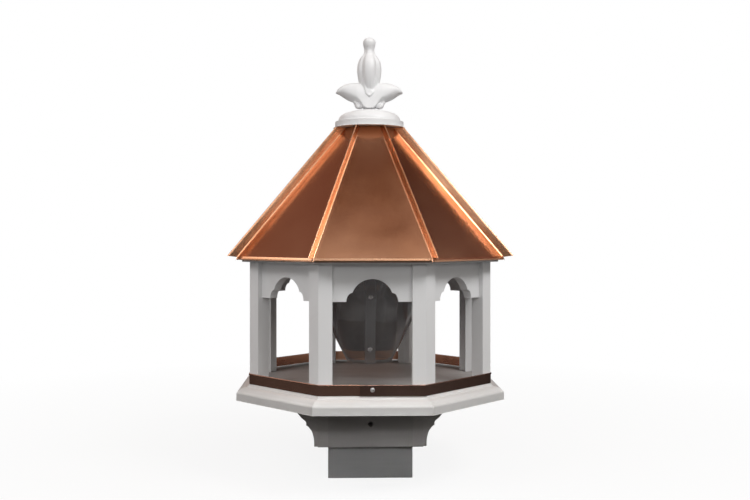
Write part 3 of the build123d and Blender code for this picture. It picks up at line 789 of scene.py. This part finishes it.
def finial_parts():
    verts, faces = [], []

    def put(v, f):
        k = len(verts)
        verts.extend(v)
        faces.extend([tuple(i + k for i in x) for x in f])

    def tube(rings, closed_ends=True):
        m = len(rings[0])
        v = [p for ring in rings for p in ring]
        f = []
        for i in range(len(rings) - 1):
            for j in range(m):
                a, b = i * m + j, i * m + (j + 1) % m
                f.append((a, b, b + m, a + m))
        f.append(tuple(range(m)))
        f.append(tuple(range((len(rings) - 1) * m, len(rings) * m))[::-1])
        put(v, f)

    seg = 144
    rings = []
    for i in range(150):
        z = 518.2 + 104.1 * i / 149
        R = max(0.4, smooth_interp(BUD, z))
        d = max(0.0, interp(FLUTE, z))
        ring = []
        for j in range(seg):
            a = 2 * math.pi * j / seg
            g = (0.5 - 0.5 * math.cos(4 * a))
            fine = 0.05 * max(0.0, 1 - abs(z - 549) / 13.0) * max(0.0, math.cos(12 * a)) ** 4
            r = R * (1 - d * g ** 4 - d * 0.35 * g - fine)
            ring.append((r * math.cos(a), r * math.sin(a), z))
        rings.append(ring)
    tube(rings)
    m = 40
    for side in (1, -1):
        # wing, from the middle outwards
        rings = []
        for i in range(41):
            x = 48.6 * i / 40
            zt, zb, zw, w = smooth_interp(ZT, x), smooth_interp(ZB, x), smooth_interp(ZW, x), max(0.35, smooth_interp(WD, x))
            zb = min(zb, zw - 0.2)
            ring = []
            for j in range(m):
                t = 2 * math.pi * j / m
                c, q = math.cos(t), math.sin(t)
                if q >= 0:
                    y = w * math.copysign(abs(c) ** 0.80, c)
                    z = zw + (zt - zw) * q ** 0.90
                else:
                    y = w * math.copysign(abs(c) ** 2.2, c)
                    z = zw - (zw - zb) * (-q) ** 0.9
                ring.append((side * x, y, z))
            rings.append(ring)
        tube(rings)
        # scroll at the wing's foot
        rings = []
        for i in range(17):
            ph = math.pi * i / 16
            yy = -8.8 * math.cos(ph)
            k = math.sin(ph) ** 0.45
            rings.append([(side * (14.6 + 6.6 * k * math.cos(2 * math.pi * j / 24)), yy, 523.6 + 4.4 * k * math.sin(2 * math.pi * j / 24)) for j in range(24)])
        tube(rings)
        rings = []
        for i in range(9):
            ph = math.pi * i / 8
            k = math.sin(ph) ** 0.5
            yy = -6.5 * math.cos(ph)
            rings.append([(side * (18.6 + 4.4 * k * math.cos(2 * math.pi * j / 16)), yy, 528.6 + 5.2 * k * math.sin(2 * math.pi * j / 16)) for j in range(16)])
        tube(rings)
        # the bud's pointed lower lip, on the front and on the back
        outline = [(-9.6, 562.0), (-11.6, 555.0), (-11.9, 549.0), (-10.6, 545.4), (-5.6, 540.0), (-1.2, 536.2), (0.0, 535.6), (1.2, 536.2), (5.6, 540.0), (10.6, 545.4), (11.9, 549.0), (11.6, 555.0), (9.6, 562.0)]
        rings = []
        for dep, inset in ((-2.0, 0.0), (-13.2, 0.0), (-14.0, 0.35), (-14.4, 1.5)):
            rings.append([(px * (1 - inset / 12.0), side * (dep + 0.045 * px * px * (1 if dep < -5 else 0) - (0.9 if z > 552 and dep < -5 else 0.0) * 0), z + inset * (0.8 if z < 545 else -0.2)) for px, z in outline])
        tube(rings)
    return verts, faces


verts, faces = finial_parts()
fin = from_lists("finial_casting", verts, faces)
bm = bmesh.new()
bm.from_mesh(fin.data)
bmesh.ops.remove_doubles(bm, verts=bm.verts, dist=1e-7)
bmesh.ops.recalc_face_normals(bm, faces=bm.faces)
bm.to_mesh(fin.data)
bm.free()
rm = fin.modifiers.new("fuse", "REMESH")
rm.mode = "VOXEL"
rm.voxel_size = 0.55 * MM
sm = fin.modifiers.new("soft", "SMOOTH")
sm.factor, sm.iterations = 0.5, 4
bake(fin)
finish_mesh(fin, CAST, CAP, angle=180, replaces=("finial",))

# ------------------------------------------------------------------ floor, light, world
verts, faces = [(0, 0, -0.0002)], []
rings = [0.2, 0.5, 0.9, 1.4, 2.2]
for r in rings:
    for i in range(64):
        a = 2 * math.pi * i / 64
        verts.append((r * math.cos(a), r * math.sin(a), -0.0002))
for i in range(64):
    faces.append((0, 1 + i, 1 + (i + 1) % 64))
for k in range(len(rings) - 1):
    for i in range(64):
        a, b = 1 + k * 64 + i, 1 + k * 64 + (i + 1) % 64
        faces.append((a, a + 64, b + 64, b))
floor = from_lists("studio_floor", verts, faces, scale=1.0)
t = Tree("studio_floor")
lp = t.add("ShaderNodeLightPath")
t.set(Roughness=0.9)
t.to(t.mix(lp.outputs["Is Camera Ray"], (0.10, 0.10, 0.10), (0.86, 0.86, 0.86)), "Base Color")
t.bsdf.inputs["Specular IOR Level"].default_value = 0.1
emit = t.add("ShaderNodeEmission")
emit.inputs["Color"].default_value = (1, 1, 1, 1)
emit.inputs["Strength"].default_value = 1.0
dist = t.add("ShaderNodeVectorMath", operation="LENGTH")
t.link(t.coord.outputs["Object"], dist.inputs[0])
far = t.span(dist.outputs["Value"], 0.0, 1.0, 0.25, 1.15)
fac = t.math("MULTIPLY", t.math("ADD", t.math("MULTIPLY", far, 0.12), 0.88), lp.outputs["Is Camera Ray"])
mixs = t.add("ShaderNodeMixShader")
out = t.nt.nodes["Material Output"]
t.link(fac, mixs.inputs[0])
t.link(t.bsdf.outputs[0], mixs.inputs[1])
t.link(emit.outputs[0], mixs.inputs[2])
t.link(mixs.outputs[0], out.inputs["Surface"])
floor.data.materials.append(t.mat)

world = bpy.data.worlds.new("studio")
scene.world = world
world.use_nodes = True
wt = world.node_tree
wt.nodes.clear()
wo = wt.nodes.new("ShaderNodeOutputWorld")
white = wt.nodes.new("ShaderNodeBackground")
white.inputs[0].default_value = (1, 1, 1, 1)
white.inputs[1].default_value = 1.0
room = wt.nodes.new("ShaderNodeBackground")
room.inputs[1].default_value = 1.0
wc = wt.nodes.new("ShaderNodeTexCoord")
sep = wt.nodes.new("ShaderNodeSeparateXYZ")
wt.links.new(wc.outputs["Generated"], sep.inputs[0])


def spread(socket, lo, hi, mode="LINEAR"):
    m = wt.nodes.new("ShaderNodeMapRange")
    m.interpolation_type = mode
    m.inputs["From Min"].default_value = lo
    m.inputs["From Max"].default_value = hi
    wt.links.new(socket, m.inputs["Value"])
    return m.outputs["Result"]


height = spread(sep.outputs["Z"], -1, 1)
QUARTERS = {     # room tone by height: floor side, low, middle, high, near the top, overhead
    "front_left": ((0.015, 0.015, 0.015), (0.015, 0.012, 0.010), (0.030, 0.018, 0.014), (0.040, 0.016, 0.008), (1.05, 0.93, 0.84), (0.085, 0.022, 0.006)),
    "front_right": ((0.015, 0.015, 0.015), (0.015, 0.012, 0.010), (0.145, 0.135, 0.105), (0.400, 0.390, 0.380), (1.05, 0.93, 0.84), (0.095, 0.024, 0.006)),
    "back_left": ((0.015, 0.015, 0.015), (0.030, 0.015, 0.010), (0.680, 0.510, 0.430), (0.180, 0.096, 0.078), (0.015, 0.006, 0.004), (0.012, 0.005, 0.003)),
    "back_right": ((0.015, 0.015, 0.015), (0.122, 0.120, 0.118), (0.120, 0.035, 0.024), (0.050, 0.016, 0.012), (0.012, 0.005, 0.003), (0.012, 0.005, 0.003)),
}
tones = {}
for nm, cols in QUARTERS.items():
    r = wt.nodes.new("ShaderNodeValToRGB")
    r.color_ramp.interpolation = "EASE"
    el = r.color_ramp.elements
    spots = [(-0.60, cols[0]), (-0.30, cols[1]), (0.06, cols[1]), (0.20, cols[2]), (0.46, cols[2]), (0.60, cols[3]), (0.77, cols[3]), (0.86, cols[4]), (0.925, cols[4]), (0.978, cols[5])]
    el[0].position, el[0].color = (spots[0][0] + 1) / 2, (*spots[0][1], 1)
    el[1].position, el[1].color = (spots[-1][0] + 1) / 2, (*spots[-1][1], 1)
    for z, c in spots[1:-1]:
        e = el.new((z + 1) / 2)
        e.color = (*c, 1)
    wt.links.new(height, r.inputs["Fac"])
    tones[nm] = r.outputs["Color"]


def blend2(fac, a, b):
    m = wt.nodes.new("ShaderNodeMix")
    m.data_type = "RGBA"
    wt.links.new(fac, m.inputs["Factor"])
    wt.links.new(a, m.inputs[6])
    wt.links.new(b, m.inputs[7])
    return m.outputs[2]


to_right = spread(sep.outputs["X"], -0.35, 0.35, "SMOOTHSTEP")
to_back = spread(sep.outputs["Y"], -0.25, 0.25, "SMOOTHSTEP")
wt.links.new(blend2(to_back, blend2(to_right, tones["front_left"], tones["front_right"]), blend2(to_right, tones["back_left"], tones["back_right"])), room.inputs[0])
wl = wt.nodes.new("ShaderNodeLightPath")
wm = wt.nodes.new("ShaderNodeMixShader")
wt.links.new(wl.outputs["Is Camera Ray"], wm.inputs[0])
wt.links.new(room.outputs[0], wm.inputs[1])
wt.links.new(white.outputs[0], wm.inputs[2])
wt.links.new(wm.outputs[0], wo.inputs["Surface"])


def softbox(name, az, el, dist, size, power, target=(0, 0, 0.30), size_y=None):
    d = bpy.data.lights.new(name, "AREA")
    d.shape = "RECTANGLE"
    d.size, d.size_y = size, size_y or size
    d.energy = power
    o = bpy.data.objects.new(name, d)
    scene.collection.objects.link(o)
    a, e = math.radians(az), math.radians(el)
    tgt = Vector(target)
    back = Vector((math.sin(a) * math.cos(e), -math.cos(a) * math.cos(e), math.sin(e)))
    o.location = tgt + back * dist
    o.rotation_mode = "QUATERNION"
    o.rotation_quaternion = back.to_track_quat("Z", "Y")
    o.visible_camera = False
    return o


softbox("key_right", 43, 46, 1.7, 0.62, 13.4, size_y=0.42)
softbox("key_left", -50, 36, 1.7, 0.75, 6.6, size_y=0.42)
softbox("side_right", 85, 36, 1.7, 0.70, 2.6, size_y=0.40)
softbox("side_left", -85, 22, 1.7, 0.70, 1.5, size_y=0.40)
softbox("front_high_right", 20, 46, 1.7, 0.70, 2.1, size_y=0.30)
softbox("front_high_left", -22, 47, 1.7, 0.70, 1.5, size_y=0.30)
softbox("front_low_right", 22, 12, 1.7, 0.70, 1.7, size_y=0.30)
softbox("front_low_left", -22, 12, 1.7, 0.70, 1.9, size_y=0.30)
softbox("front_mid", 0, 24, 1.7, 0.70, 1.3, size_y=0.30)
softbox("floor_left", -85, 2, 1.7, 0.60, 0.9, size_y=0.30)
softbox("floor_right", 85, 2, 1.7, 0.60, 0.8, size_y=0.30)
skirt = softbox("skirt", 0, 25, 1.4, 0.40, 0.043, target=(0, 0, -0.06), size_y=0.06)
skirt.data.spread = math.radians(16)

scene.view_settings.view_transform = "Standard"
scene.view_settings.look = "None"
scene.view_settings.exposure = 0.0
scene.view_settings.gamma = 1.0
